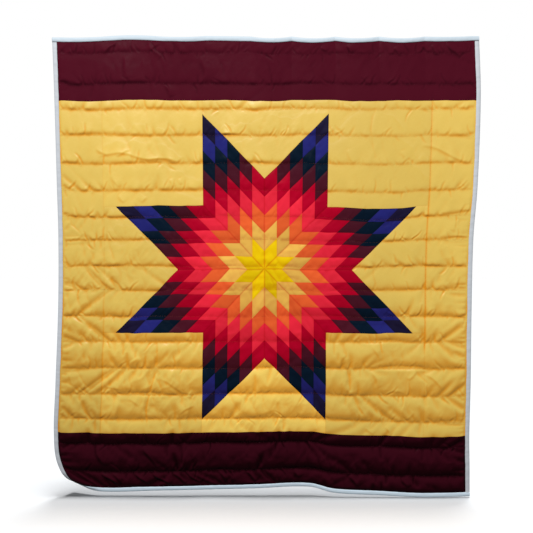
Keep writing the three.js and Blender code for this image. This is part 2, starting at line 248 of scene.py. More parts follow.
# Main creases, each from one flat place to another, and last the upright lines left by folding: a ridge
# stands proud and a trough is pressed in.
CREASES = rows(
    "from_u from_v to_u to_v width rise",
    (-786, 1038, -725, 1074, 9, 3.4), (-507, 1008, -567, 1074, 12, 4), (-483, 883, -458, 823, 11, 3.6),
    (-689, 1015, -664, 907, 16, 3.4), (-301, 1015, -288, 895, 14, 2.4), (269, 1069, 298, 1045, 9, 2.6),
    (390, 1074, 420, 1038, 9, 3), (621, 1069, 645, 1031, 9, 2.8), (754, 1074, 784, 1031, 9, 3.4),
    (803, 1074, 827, 1026, 9, 3.6), (875, 1086, 936, 1014, 10, 4), (-822, 553, -600, 542, 10, 2.4),
    (-640, 546, -429, 509, 10, 3), (-832, 581, -774, 543, 9, 2.2), (-735, 548, -662, 569, 9, 2),
    (-468, 433, -452, 396, 8, 2), (-427, 433, -412, 408, 8, 1.8), (-726, 356, -698, 324, 9, 2.2),
    (-609, 322, -589, 351, 9, 1.8), (-977, 251, -919, 169, 12, -2.6), (-759, 461, -725, 394, 10, 2),
    (754, 586, 1000, 519, 12, 2.2), (657, 572, 686, 514, 10, 1.6), (395, 572, 429, 514, 10, 1.6),
    (924, 183, 948, 236, 12, 2), (-526, -533, -342, -608, 12, 2.8), (-623, -418, -672, -473, 11, 2.6),
    (-395, -590, -350, -633, 12, 3), (-350, -590, -392, -630, 11, 2.4), (-982, -548, -890, -608, 13, -3),
    (-975, -500, -930, -580, 12, 2.4), (-930, -495, -850, -590, 12, -2.4),
    (-790, -560, -700, -588, 12, 2.2), (-545, -520, -490, -600, 12, -2.6),
    (-424, -712, -350, -660, 11, 2.6), (-715, -625, -735, -725, 18, 2.2),
    (-670, -632, -610, -660, 11, 2), (540, -365, 575, -440, 10, 2), (370, -470, 400, -405, 10, 2),
    (533, -490, 575, -570, 13, 3.2), (725, -535, 760, -485, 12, 2.6), (760, -485, 818, -560, 12, -2.4),
    (800, -500, 900, -570, 12, 2.6), (635, -583, 705, -595, 11, 2.4), (475, -650, 510, -725, 11, 2.2),
    (555, -665, 595, -740, 11, 2.2), (700, -738, 748, -682, 11, 2.4), (875, -700, 925, -738, 11, 2),
    (510, -765, 545, -802, 10, 2), (610, -757, 635, -802, 10, 2), (-822, -866, -794, -968, 16, 6.4),
    (-588, -870, -535, -985, 16, 6.4), (-361, -880, -418, -985, 16, 5.6),
    (-826, -1006, -757, -1072, 11, 8), (-771, -1010, -728, -1068, 10, 5.6),
    (-655, -1008, -606, -1074, 11, 7.2), (-566, -1010, -490, -1076, 12, 8.8),
    (-460, -1012, -408, -1070, 11, 7.2), (-394, -1008, -336, -1074, 12, 8),
    (-230, -1012, -196, -1060, 11, 5.6), (-90, -1014, -40, -1066, 12, 6.4),
    (150, -1012, 176, -1054, 11, 4.8), (430, -1012, 470, -1070, 12, 5.6),
    (690, -1014, 720, -1062, 11, 4.8), (522, 530, 522, 815, 12, -1.6), (-554, -805, -554, -330, 8, -5),
    (-578, -805, -578, -520, 10, 2.5), (-725, -805, -725, -620, 22, 4),
    (-380, -805, -380, -600, 18, 3.5), (-114, -760, -114, -600, 9, -1.4), (546, -110, 546, 10, 9, -1.4),
    (262, -815, 262, -630, 10, 2), (-960, -780, -960, -250, 16, -1.6),
)

# The back: how full it is beside the front, how far from the binding it is as full as that, how far it
# runs under the binding, and the steps of its mesh across and up.
BACK_FULL = 0.65
BACK_EASE = 30.0
BACK_UNDER = 8.0
BACK_STEP = (13.0, 10.5)

# How a seam dips, how close to the binding the padding and the dips end, and the painted shade in a seam.
SEAM_DIPS = rows("depth width", (0.25, 3.0), (0.35, 11.0))
PADDING_EASE = 12.0
DIP_EASE = 25.0
SEAM_SHADE = 0.12
SEAM_SHADE_WIDE = 4.0

# Painted shade: the downward slope and the hollow that paint the deeper colour most, and how much of it each
# paints.
SLOPE_FULL = 0.3
SLOPE_SHADE = 0.7
HOLLOW_FULL = 1.2
HOLLOW_SHADE = 0.8

# Upright seams with more painted shade along them, over part of their height.
OPEN_SEAMS = rows(
    "across low high shade",
    (SIDE_SEAM, -420, 430, 0.6),
    (SIDE_SEAM, 370, 860, 0.3),
    (-SIDE_SEAM, -830, -100, 0.3),
)
OPEN_SEAM_WIDE = 5.0
OPEN_SEAM_FADE = 60.0

# Colours of the star's rows from its middle out, and of the other cloths, as they look in even light.
STAR_ROWS = rows(
    "name red green blue",
    ("bright_yellow", 248, 208, 8),
    ("gold_patch", 246, 191, 86),
    ("orange", 248, 104, 50),
    ("red_pink", 246, 44, 66),
    ("crimson", 184, 2, 40),
    ("dark_maroon", 76, 22, 37),
    ("dark_teal", 8, 26, 43),
    ("royal_blue", 38, 40, 118),
    ("purple_navy", 30, 25, 54),
)
# Painted shade: each star colour times these shares, and the gold and the top maroon colours below, are the
# deeper colours that cloth turns to where shade falls.
STAR_SHADE_SHARES = (0.92, 0.72, 0.72)
GOLD = (238, 201, 95)
GOLD_SHADE = (244, 160, 30)
MAROON_TOP = (80, 17, 33)
MAROON_SHADE_SHARES = (0.7, 0.7, 0.7)
# A darker copy of the same maroon for the bottom band, painted shade for the less light on it, and the
# colour of its own painted shade.
MAROON_BOTTOM_SHADED = (59, 11, 24)
MAROON_SHADE = (17, 1, 4)
PALE = (209, 214, 220)
# Copies of the binding cloth coloured for how the light fell on the top and on the bottom edge: painted
# light.
PALE_TOP_PAINTED_LIGHT = (206, 220, 230)
PALE_LOW_PAINTED_LIGHT = (224, 242, 255)

# Painted sheen, as each piece's satin catches the light: the range of the star patches' lightness, drawn
# at random, and each gold panel's at its low and its high end, in steps.
SHEEN_STEP = 0.09
PATCH_SHEEN = (-1.5, 1.1)
PANEL_SHEEN = rows(
    "panel low high",
    ("corner_square_top_left", 0.3, 0.3),
    ("corner_square_top_right", -0.4, -0.4),
    ("set_triangle_bottom", 2.5, 2.5),
    ("set_triangle_left", -0.4, -0.4),
    ("corner_square_bottom_left", 0.6, 0.6),
    ("side_strip_left", -1.2, 0.1),
    ("side_strip_right", 0.3, 0.3),
)

THREAD_GOLD = (150, 88, 52)
THREAD_ORANGE = (230, 112, 34)
THREAD_MAROON = (104, 42, 56)
FLOOR = (244, 246, 248)

# The camera that took the picture: its distance, and the width that its frame covers there.
CAMERA_AWAY = 3.6
SENSOR = 36.0
SEES_TO = 200.0
FRAME_WIDE = 2.585
FRAME_MIDDLE_U = 9.7
FRAME_MIDDLE_V = 13.6

# Light from the room, and lamps in metres: two light the quilt, and two broad suns light the floor alone.
# A lamp's size is its width, and a sun's its angle.
ROOM_LIGHT = 0.16
AIM = (0, 0, -1.2)
OVERHEAD = (0, 0, 0)
SUN_WIDE = math.radians(11)
LAMPS = rows(
    "name kind at aim strength size floor",
    ("key", "AREA", (-1.2, -7.0, 5.5), AIM, 860, 1.2, "EXCLUDE"),
    ("back", "AREA", (0.8, 3.4, 0.6), AIM, 90, 1.5, "EXCLUDE"),
    ("overhead_back", "SUN", (0.07, 0.12, 1), OVERHEAD, 1.08, SUN_WIDE, "INCLUDE"),
    ("overhead_front", "SUN", (0.05, -0.12, 1), OVERHEAD, 2.05, SUN_WIDE, "INCLUDE"),
)
FLOOR_DROP = 0.002
FLOOR_HALF = 60.0


def lots(number):
    """Random draws of one number, the same each time."""
    return np.random.RandomState(SEED + number)


def share_of(x):
    """Values held from 0 to 1."""
    return np.clip(x, 0, 1)


def eased(t):
    """A share from 0 to 1 that starts and ends gently."""
    return t * t * (3 - 2 * t)


def span_of(levels, x):
    """The span of sorted levels that values fall in, and the share of the way along it."""
    held = np.clip(x, levels[0], levels[-1])
    i = np.clip(np.searchsorted(levels, held, side="left") - 1, 0, len(levels) - 2)
    return i, (held - levels[i]) / (levels[i + 1] - levels[i])


def curve_through(table, key, value):
    """A smooth curve through the rows of a table."""
    order = np.argsort(column(table, key))
    at = column(table, key)[order]
    out = column(table, value)[order]
    last = len(at) - 1
    before = np.maximum(np.arange(last + 1) - 1, 0)
    after = np.minimum(np.arange(last + 1) + 1, last)
    slope = (out[after] - out[before]) / (at[after] - at[before])

    def curve(x):
        i, t = span_of(at, x)
        span = at[i + 1] - at[i]
        leave = t * (1 - t) ** 2 * span
        arrive = t * t * (t - 1) * span
        return out[i] + (out[i + 1] - out[i]) * eased(t) + slope[i] * leave + slope[i + 1] * arrive

    return curve


left_out = curve_through(SIDES, "height", "left")
right_out = curve_through(SIDES, "height", "right")
hem_lift = curve_through(HEM, "across", "lift")
hem_back = curve_through(HEM, "across", "back")
belly = curve_through(BELLY, "height", "forward")


def bump(x):
    return np.exp(-x * x)


def near_row(row, u, v):
    """One at the place that a row of a table gives, falling to none far from it."""
    return bump((u - row.across) / row.wide) * bump((v - row.height) / row.tall)


def top_edge(u):
    """The lift and the sag of the top edge at places across."""
    i, t = span_of(column(HELD, "across"), u)
    lift = column(HELD, "lift")
    return lift[i] + (lift[i + 1] - lift[i]) * t, column(HELD, "sag")[i] * 4 * t * (1 - t)


def curl_corner(u, v):
    """The lower left corner curls back round a soft roll that leans down to the right."""
    across, up = -math.sin(ROLL_LEAN), -math.cos(ROLL_LEAN)
    run = np.maximum(ROLL_REACH + across * (u + HALF_WIDTH) + up * (v + HALF_HEIGHT), 0)
    angle = run / ROLL_RADIUS
    drawn = ROLL_RADIUS * np.sin(angle) - run
    return u + across * drawn, v + up * drawn, ROLL_RADIUS * (1 - np.cos(angle))


def drape(flat_u, flat_v):
    """The middle of the padding at flat places as it drapes, in millimetres."""
    u, v, back = curl_corner(np.asarray(flat_u, float), np.asarray(flat_v, float))
    side = np.where(u < 0, left_out(v), right_out(v))
    low = (np.maximum(-v, 0) / HALF_HEIGHT) ** LOW_POWER
    hem = (np.maximum(-v - HEM_FROM * HALF_HEIGHT, 0) / (HEM_SPAN * HALF_HEIGHT)) ** HEM_POWER
    lift, sag = top_edge(u)
    scallop = np.exp(-np.maximum(HALF_HEIGHT - v, 0) / SCALLOP_FADE)
    x = u * (1 + side / HALF_WIDTH)
    y = hem_back(u) * hem - belly(v) - SCALLOP_LEAN * sag * scallop + back
    z = v * WEIGHT_STRETCH + hem_lift(u) * low + (lift - sag) * scallop
    for fold in FOLDS:
        along = v - fold.height
        aside = u - fold.across - fold.lean * along
        y = y - fold.forward * bump(aside / fold.width) * bump(along / fold.reach)
    for drift in DRIFTS:
        off = np.hypot(u - drift.across, v - drift.height)
        z = z + drift.up * bump(off / drift.reach)
    return np.stack([x, y, z], -1)


TOP_MIDDLE = drape(0.0, HALF_HEIGHT)


def unit(vectors):
    return vectors / np.maximum(np.linalg.norm(vectors, axis=-1, keepdims=True), 1e-12)


def facing(u, v):
    """The direction the front faces, and the way across, at flat places."""
    step = 2.0
    across = drape(u + step, v) - drape(u - step, v)
    up = drape(u, v + step) - drape(u, v - step)
    return unit(np.cross(across, up)), unit(across)


def place(u, v, offset):
    """Points at flat places, raised from the middle of the padding, in metres."""
    normal, _ = facing(u, v)
    return (drape(u, v) - TOP_MIDDLE + normal * np.asarray(offset)[..., None]) * MM


def cell_noise(up, across, size, rng):
    """Even noise from -1 to 1 at places counted in cells, over a random grid of some size."""
    grid = rng.rand(*size) * 2 - 1
    i, j = up.astype(int), across.astype(int)
    f, g = eased(up - i), eased(across - j)
    low = grid[i, j] * (1 - g) + grid[i, j + 1] * g
    high = grid[i + 1, j] * (1 - g) + grid[i + 1, j + 1] * g
    return low * (1 - f) + high * f


def smooth_noise(shape, cells, rng):
    """Noise on a grid of some shape that changes over a number of cells each way."""
    up = np.linspace(0, cells[0], shape[0])[:, None]
    across = np.linspace(0, cells[1], shape[1])[None, :]
    return cell_noise(up, across, (int(cells[0]) + 3, int(cells[1]) + 3), rng)


def blurred(values, share, times=1):
    """Values softened with their neighbours."""
    for _ in range(times):
        padded = np.pad(values, ((1, 1), (1, 1)), mode="edge")
        near = padded[:-2, 1:-1] + padded[2:, 1:-1] + padded[1:-1, :-2] + padded[1:-1, 2:]
        values = values * (1 - share) + near * share / 4
    return values


def sampled(fields, levels_v, levels_u, u, v):
    """Fields on a grid, smoothly between its levels, at flat places."""
    spots = []
    for value, levels in ((v, levels_v), (u, levels_u)):
        found = np.interp(value, levels, np.arange(len(levels)))
        base = np.clip(np.floor(found).astype(int), 0, len(levels) - 2)
        t = found - base
        weights = (
            -0.5 * t + t**2 - 0.5 * t**3,
            1 - 2.5 * t**2 + 1.5 * t**3,
            0.5 * t + 2 * t**2 - 1.5 * t**3,
            -0.5 * t**2 + 0.5 * t**3,
        )
        spots.append([(np.clip(base + k - 1, 0, len(levels) - 1), weights[k]) for k in range(4)])
    total = np.zeros((*np.shape(u), fields.shape[-1]))
    for i, up in spots[0]:
        for j, across in spots[1]:
            total += fields[i, j] * (up * across)[..., None]
    return total


def quads_of(index):
    return np.stack([index[:-1, :-1], index[:-1, 1:], index[1:, 1:], index[1:, :-1]], -1).reshape(-1, 4)


def from_binding(u, v):
    """How far inside the binding flat places are."""
    return np.minimum(INNER_WIDTH - np.abs(u), INNER_HEIGHT - np.abs(v))


def slack_at(u, v):
    """How much the cloth is gathered, and how far it is dragged, at flat places."""
    gather = np.full(np.shape(u), GATHER)
    drag = np.full(np.shape(u), DRAG)
    for row in SLACK:
        near = near_row(row, u, v)
        gather = gather + row.gather * near
        drag = drag + row.drag * near
    return np.maximum(gather, 0), np.maximum(drag, 0)


class FrontCloth:
    """The front cloth held by the rows of quilting, from a cloth simulation.

    The cloth is cut a little larger than the rows that hold it: the rows are drawn together while the
    padding presses the cloth out, so it swells into channels and puckers along the rows.
    """

    STEP = 10.0
    FRAMES = 24
    GATHERED_BY = 12
    SETTINGS = {
        "quality": 5, "mass": 0.02, "tension_stiffness": 60, "compression_stiffness": 10,
        "shear_stiffness": 8, "bending_stiffness": 10, "tension_damping": 4,
        "compression_damping": 4, "shear_damping": 4, "vertex_group_mass": "sewn",
        "use_pressure": True, "uniform_pressure_force": 12,
    }

    def __init__(self):
        self.rng = lots(0)
        self.us = np.linspace(-INNER_WIDTH, INNER_WIDTH, int(2 * INNER_WIDTH / self.STEP) + 1)
        lines = CHANNEL_LINES
        self.full = np.array([*column(QUILTING, "full")[::-1], 0.5, 0.5])
        levels, shares, channel = [], [], []
        for i, (low, high) in enumerate(zip(lines, lines[1:])):
            count = max(4, round((high - low) / self.STEP))
            levels += [low + (high - low) * k / count for k in range(count)]
            shares += [k / count for k in range(count)]
            channel += [i] * count
        self.vs = np.array([*levels, lines[-1]])
        self.share = np.array([*shares, 0.0])
        self.channel = np.array([*channel, len(lines) - 1])
        self.u, self.v = np.meshgrid(self.us, self.vs)
        self.shape = self.u.shape
        self.held = np.repeat((self.share == 0)[:, None], len(self.us), axis=1)
        self.held[:, [0, -1]] = True
        self.wander = self.by_row(17) * WANDER + self.by_row(55) * WANDER * 0.35
        self.wander *= share_of((HALF_HEIGHT - np.abs(self.v)) / 60 - 0.3)
        crown = (np.sin(np.pi * self.share) * self.full[self.channel])[:, None] * np.ones(len(self.us))
        knots = (len(self.vs) / 3, len(self.us) / 3)
        self.start = crown * 2 + 0.8 * smooth_noise(self.shape, knots, self.rng) * ~self.held
        moved = self.simulate()
        across = blurred(moved[..., 0] - self.u, 0.5)
        up = blurred(moved[..., 1] - self.v, 0.5)
        rise = blurred(moved[..., 2], 0.4)
        rise = np.where(self.held, 0.25 * rise, rise)
        self.fields = np.stack([across, up, rise], -1)

    def by_row(self, cells):
        """Noise that each row of quilting has of its own, carried evenly across the channels."""
        own = smooth_noise((self.channel[-1] + 2, len(self.us)), (self.channel[-1] + 1, cells), self.rng)
        share = self.share[:, None]
        return own[self.channel] * (1 - share) + own[self.channel + 1] * share

    def cut(self):
        """The cloth as it is cut: longer by the slack, and dragged by each row."""
        gather, drag = slack_at(self.u, self.v)
        uneven = 1 + 0.8 * smooth_noise(self.shape, (14, 12), self.rng)
        longer = np.cumsum(gather * uneven, axis=1) * (self.us[1] - self.us[0])
        longer -= longer[:, len(self.us) // 2][:, None]
        dragged = 2.0 * self.by_row(16) * drag
        slack = PUFF * self.full[self.channel[:-1]] ** 2
        taller = np.concatenate([[0], np.cumsum(np.diff(self.vs) * slack)])
        return self.u + longer + dragged, self.v + self.wander + taller[:, None]

    def simulate(self):
        index = np.arange(self.u.size).reshape(self.shape)
        cut_u, cut_v = self.cut()
        cut = np.stack([cut_u, -self.start, cut_v], -1).reshape(-1, 3) * MM
        sewn = np.stack([self.u, -self.start, self.v + self.wander], -1).reshape(-1, 3) * MM
        mesh = bpy.data.meshes.new("front_cloth")
        mesh.from_pydata(cut.tolist(), [], quads_of(index).tolist())
        cloth = bpy.data.objects.new("front_cloth", mesh)
        scene = bpy.context.scene
        scene.collection.objects.link(cloth)
        cloth.shape_key_add(name="cut")
        key = cloth.shape_key_add(name="sewn")
        key.data.foreach_set("co", sewn.ravel())
        for at, value in ((1, 0.0), (self.GATHERED_BY, 1.0)):
            key.value = value
            key.keyframe_insert("value", frame=at)
        group = cloth.vertex_groups.new(name="sewn")
        group.add(index[self.held].tolist(), 1.0, "REPLACE")
        modifier = cloth.modifiers.new("cloth", "CLOTH")
        for setting, value in self.SETTINGS.items():
            setattr(modifier.settings, setting, value)
        modifier.settings.effector_weights.gravity = 0
        modifier.collision_settings.use_collision = False
        modifier.point_cache.frame_end = self.FRAMES + 1
        for at in range(1, self.FRAMES + 1):
            scene.frame_set(at)
        settled = cloth.evaluated_get(bpy.context.evaluated_depsgraph_get()).data
        points = np.zeros(self.u.size * 3, np.float32)
        settled.vertices.foreach_get("co", points)
        points = points.reshape(*self.shape, 3) / MM
        action = mesh.shape_keys.animation_data.action
        bpy.data.objects.remove(cloth)
        bpy.data.meshes.remove(mesh)
        bpy.data.actions.remove(action)
        scene.frame_set(1)
        return np.stack([points[..., 0], points[..., 2], -points[..., 1]], -1)


def in_star(u, v):
    """One well inside the star, and none outside it."""
    turn = np.mod(np.arctan2(v, u), math.pi / 4)
    away = np.hypot(u, v)
    first = away * np.sin(math.pi / 4 - turn) / math.sin(math.pi / 4)
    second = away * np.sin(turn) / math.sin(math.pi / 4)
    return share_of((STAR_SIDE - np.maximum(first, second)) / STAR_EASE)


class Relief:
    """The whole front on one fine flat grid: the settled cloth, its main creases and its puckers."""

    STEP = 3.0

    def __init__(self, cloth):
        self.us = evenly(-INNER_WIDTH, INNER_WIDTH, self.STEP)
        self.vs = evenly(-INNER_HEIGHT, INNER_HEIGHT, self.STEP)
        self.u, self.v = np.meshgrid(self.us, self.vs)
        across, up, rise = np.moveaxis(sampled(cloth.fields, cloth.vs, cloth.us, self.u, self.v), -1, 0)
        press = curve_through(PADDING, "height", "press")(self.v)
        self.rise = press * (1 - np.exp(-np.maximum(rise, 0) / press))
        lines = CHANNEL_LINES
        self.channel = np.clip(np.searchsorted(lines, self.vs, side="right") - 1, 0, len(lines) - 2)
        low, high = lines[self.channel], lines[self.channel + 1]
        self.share = share_of((self.vs - low) / (high - low))[:, None]
        self.rise *= 1 + curve_through(PADDING, "height", "sag")(self.v) * (self.sagged() - 1)
        for row in EASED:
            self.rise *= 1 - row.share * near_row(row, self.u, self.v)
        self.add_crumpling()
        self.add_creases()
        self.add_puckers()
        self.rise *= 1 - (1 - STAR_FULL) * in_star(self.u, self.v)
        self.add_star_wrinkles()
        ease = share_of(from_binding(self.u, self.v) / PADDING_EASE)
        self.rise = np.maximum(self.rise, -0.5) * ease
        # Painted shade: a deeper colour where the cloth turns down, in its hollows, and more low down on the
        # quilt.
        shade = curve_through(PADDING, "height", "shade")(self.v)
        turned_down = share_of((np.gradient(self.rise, self.vs, axis=0) + shade) / SLOPE_FULL)
        hollow = share_of((blurred(self.rise, 0.8, 14) - self.rise) / HOLLOW_FULL)
        deep = blurred(1 - (1 - SLOPE_SHADE * turned_down) * (1 - HOLLOW_SHADE * hollow), 0.6)
        self.fields = np.stack([across * ease, up * ease, self.rise, deep], -1)

    def sagged(self):
        """How much fuller the padding is low in each channel than at its middle, unevenly along it."""
        rng = lots(3)
        count = self.channel[-1] + 2
        uneven = smooth_noise((count, len(self.us)), (count - 1, 2 * INNER_WIDTH / 34), rng)[self.channel]
        return 1.1 * (1 - self.share) ** 0.6 * (self.share + 0.03) ** -(0.24 + 0.3 * uneven)

    def folded(self, wide, tall, lean, rng):
        """Noise from 0 to 1 on leaning cells, with a crease where it comes to nought."""
        across = (self.u + lean * self.v) / wide
        up = self.v / tall
        across, up = across - across.min(), up - up.min()
        return np.abs(cell_noise(up, across, (int(up.max()) + 2, int(across.max()) + 2), rng))

    def wrinkles(self, pair, rng):
        """Two sets of folds that cross."""
        one, other = (self.folded(*cells, rng) for cells in pair)
        return one - other

    def add_crumpling(self):
        rng = lots(7)
        amount = np.zeros(self.u.shape)
        for row in CRUMPLED:
            amount = np.maximum(amount, row.amount * near_row(row, self.u, self.v))
        held = (4 * self.share * (1 - self.share)) ** 0.4
        broad = self.wrinkles(BROAD_WRINKLES, rng)
        small = self.wrinkles(SMALL_WRINKLES, rng)
        self.rise += amount * held * blurred(broad + SMALL_SHARE * small, 0.6, 2)

    def add_star_wrinkles(self):
        """Small wrinkles on the star, where many seams hold its patches flat."""
        rng = lots(9)
        crossed = self.wrinkles(STAR_WRINKLES, rng)
        self.rise += STAR_WRINKLED * in_star(self.u, self.v) * blurred(crossed, 0.6, 2)

    def window(self, u, v, reach):
        """The part of the grid within reach of a flat place."""
        j = np.searchsorted(self.us, (u - reach, u + reach))
        i = np.searchsorted(self.vs, (v - reach, v + reach))
        return np.s_[i[0] : i[1], j[0] : j[1]]

    def stroke(self, start, lean, long, width):
        """The part of the grid near a stroke, and places there along it and aside from it."""
        middle = np.array(start) + np.array(lean) * long / 2
        near = self.window(*middle, long / 2 + 5 * width)
        across = self.u[near] - start[0]
        up = self.v[near] - start[1]
        along = (across * lean[0] + up * lean[1]) / long
        aside = (up * lean[0] - across * lean[1] + 0.05 * long * np.sin(along * 5 + long)) / width
        return near, along, aside

    def add_creases(self):
        """Folds that hang over on one side of the crest and ease off on the other."""
        for row in CREASES:
            start = (row.from_u, row.from_v)
            run = np.array([row.to_u, row.to_v], float) - np.array(start, float)
            long = np.hypot(*run)
            near, along, aside = self.stroke(start, run / long, long, row.width)
            fade = np.sin(math.pi * share_of(along)) ** 0.6
            crest = np.where(aside > 0, np.exp(-aside / 2), bump(aside / 0.6))
            self.rise[near] += row.rise * fade * crest

    def add_pucker(self, start, lean, long, width, rise):
        """A small gather that starts at a row of quilting, with a fuller lip beside it."""
        near, along, aside = self.stroke(start, lean, long, width)
        fade = share_of(along * long / 6) * share_of(1 - along) ** 1.4
        self.rise[near] += rise * np.sqrt(fade) * (bump(aside) - 0.45 * bump((aside - 1.7) / 1.1))

    def add_puckers(self):
        rng = lots(5)
        for row in QUILTING:
            at = -INNER_WIDTH
            while at < INNER_WIDTH - 30:
                at += rng.uniform(*PUCKER_STEP)
                gather, _ = slack_at(at, row.height)
                share = rng.rand() ** 2
                side = 1 if rng.rand() < 0.8 else -1
                lean = rng.uniform(-PUCKER_LEAN, PUCKER_LEAN)
                way = np.array([math.sin(lean), side * math.cos(lean)])
                long = np.interp(share, (0, 1), PUCKER_LONG)
                wide = np.interp(rng.rand(), (0, 1), PUCKER_WIDE)
                deep = np.interp(share, (0, 1), PUCKER_DEEP) * np.interp(gather, PUCKER_GATHER, PUCKER_SHARE)
                self.add_pucker((at, row.height), way, long, wide, -deep)

    def at(self, u, v):
        """The shift across and up, the rise, and the painted shade at flat places."""
        return np.moveaxis(sampled(self.fields, self.vs, self.us, u, v), -1, 0)


def evenly(low, high, step=MESH_STEP):
    return np.linspace(low, high, max(2, round((high - low) / step) + 1))


def steps(*stops):
    """Levels from stop to stop; a part that borders the star has the star's own steps."""
    parts = []
    for low, high in zip(stops, stops[1:]):
        star = {round(STAR_TIP - STAR_HALF): 1, round(2 * STAR_HALF): 2}.get(round(high - low))
        count = star * DIAMONDS * PER_DIAMOND if star else max(1, round((high - low) / MESH_STEP))
        parts.append(np.linspace(low, high, count + 1)[:-1])
    return np.concatenate([*parts, [stops[-1]]])


relief = Relief(FrontCloth())


def front_rise(u, v, from_seam, sunk=1.0):
    """The shift of the front cloth, its rise from the middle of the padding, and its painted shade."""
    shift_u, shift_v, rise, deep = relief.at(u, v)
    seam = sunk * sum(row.depth * bump(from_seam / row.width) for row in SEAM_DIPS)
    height = np.maximum(rise - seam * share_of(from_binding(u, v) / DIP_EASE), -0.9)
    # Painted shade in each seam, and more along the open seams.
    deep = deep + SEAM_SHADE * sunk * bump(from_seam / SEAM_SHADE_WIDE)
    for row in OPEN_SEAMS:
        from_end = np.minimum(v - row.low, row.high - v)
        reach = share_of(from_end / OPEN_SEAM_FADE)
        deep = deep + row.shade * reach * bump((u - row.across) / OPEN_SEAM_WIDE)
    return shift_u, shift_v, STITCHED_HALF + height, share_of(deep)


def add_mesh(name, points, faces, materials, smooth=None, picks=None, deep=None, tone=None):
    """A mesh object from points in metres and faces, riding on the quilt's one body."""
    mesh = bpy.data.meshes.new(name)
    mesh.from_pydata(points.tolist(), [], faces if isinstance(faces, list) else faces.tolist())
    for material in materials:
        mesh.materials.append(material)
    if picks is not None:
        mesh.polygons.foreach_set("material_index", np.asarray(picks, np.int32))
    for look, domain, values in (("deep", "POINT", deep), ("tone", "FACE", tone)):
        if values is not None:
            layer = mesh.attributes.new(look, "FLOAT", domain)
            layer.data.foreach_set("value", values.astype(np.float32))
    count = len(mesh.polygons)
    mesh.polygons.foreach_set("use_smooth", np.arange(count) < (count if smooth is None else smooth))
    mesh.update()
    piece = bpy.data.objects.new(name, mesh)
    bpy.context.scene.collection.objects.link(piece)
    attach(piece, "root")
    return piece


def lowest_near(values, reach):
    """The lowest value within reach of each place of a grid."""
    for axis in (0, 1):
        padded = np.pad(values, [(reach, reach) if k == axis else (0, 0) for k in (0, 1)], mode="edge")
        count = values.shape[axis]
        near = [np.take(padded, np.arange(k, k + count), axis) for k in range(2 * reach + 1)]
        values = np.min(near, axis=0)
    return values


def sparse(count, every):
    """Every so many places of a count, the last one included."""
    return np.unique([*range(0, count, every), count - 1])


def rim_of(index):
    return np.concatenate([index[0, :-1], index[:-1, -1], index[-1, :0:-1], index[:0:-1, 0]])


def ringed(grid):
    """A grid with one more line close inside each of its edges."""
    for axis in (0, 1):
        first, second = np.take(grid, [0], axis), np.take(grid, [1], axis)
        last, before = np.take(grid, [-1], axis), np.take(grid, [-2], axis)
        middle = np.delete(grid, [0, -1], axis)
        close = [first * (1 - RING) + second * RING, middle, last * (1 - RING) + before * RING]
        grid = np.concatenate([first, *close, last], axis)
    return grid


def closed_sheet(name, outside, inside, every, materials, picks=None, deep=None, tone=None):
    """A closed sheet from a grid of points on its seen side and a sparser grid on its hidden side."""
    i, j = (sparse(count, every) for count in outside.shape[:2])
    ring_i, ring_j = (k + (k > 0) + (k == k[-1]) for k in (i, j))
    hidden_points = inside[np.ix_(i, j)].reshape(-1, 3)
    outside = ringed(outside)
    down, across = outside.shape[:2]
    index = np.arange(down * across).reshape(down, across)
    under = np.arange(len(i) * len(j)).reshape(len(i), len(j)) + index.size
    seen = quads_of(index).tolist()
    hidden = quads_of(under)[:, ::-1].tolist()
    rim = rim_of(index)
    order = {vertex: k for k, vertex in enumerate(rim.tolist())}
    stops = [order[vertex] for vertex in rim_of(index[np.ix_(ring_i, ring_j)]).tolist()]
    below = rim_of(under).tolist()
    walls = []
    for k, start in enumerate(stops):
        end = stops[(k + 1) % len(stops)] or len(rim)
        run = [int(rim[m % len(rim)]) for m in range(start, end + 1)]
        walls.append([*run[::-1], below[k], below[(k + 1) % len(below)]])
    points = np.concatenate([outside.reshape(-1, 3), hidden_points])
    rest = np.zeros(len(hidden) + len(walls))
    if picks is not None:
        picks = np.concatenate([np.pad(picks, 1, mode="edge").ravel(), rest])
    if tone is not None:
        tone = np.concatenate([np.pad(tone, 1, mode="edge").ravel(), rest])
    if deep is not None:
        deep = np.concatenate([ringed(deep).ravel(), np.zeros(under.size)])
    return add_mesh(name, points, seen + hidden + walls, materials, len(seen), picks, deep, tone)


def front_panel(
    name, node, u, v, from_seam, materials, picks=None, tone=None, from_shaded_edge=None
):
    """One piece of the pieced front as a sheet over the padding; a star point has painted shade along its
    edges.
    """
    shift_u, shift_v, rise, deep = front_rise(u, v, from_seam, 1.0 if from_shaded_edge is None else STAR_SUNK)
    if from_shaded_edge is not None:
        # Painted shade along the star point's edges.
        deep = share_of(deep + STAR_EDGE_SHADE * bump(from_shaded_edge / STAR_EDGE_SHADE_WIDE))
    outside = place(u + shift_u, v + shift_v, rise)
    inside = place(u + shift_u, v + shift_v, lowest_near(rise, HIDDEN_EVERY) - CLOTH)
    piece = closed_sheet(name, outside, inside, HIDDEN_EVERY, materials, picks, deep, tone)
    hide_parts(node)


def linear(colour):
    """A colour as seen, as the linear red, green, blue and alpha that a shader takes."""
    part = np.array(colour[:3], float) / 255
    out = np.where(part <= 0.04045, part / 12.92, ((part + 0.055) / 1.055) ** 2.4)
    return (*out.tolist(), 1.0)


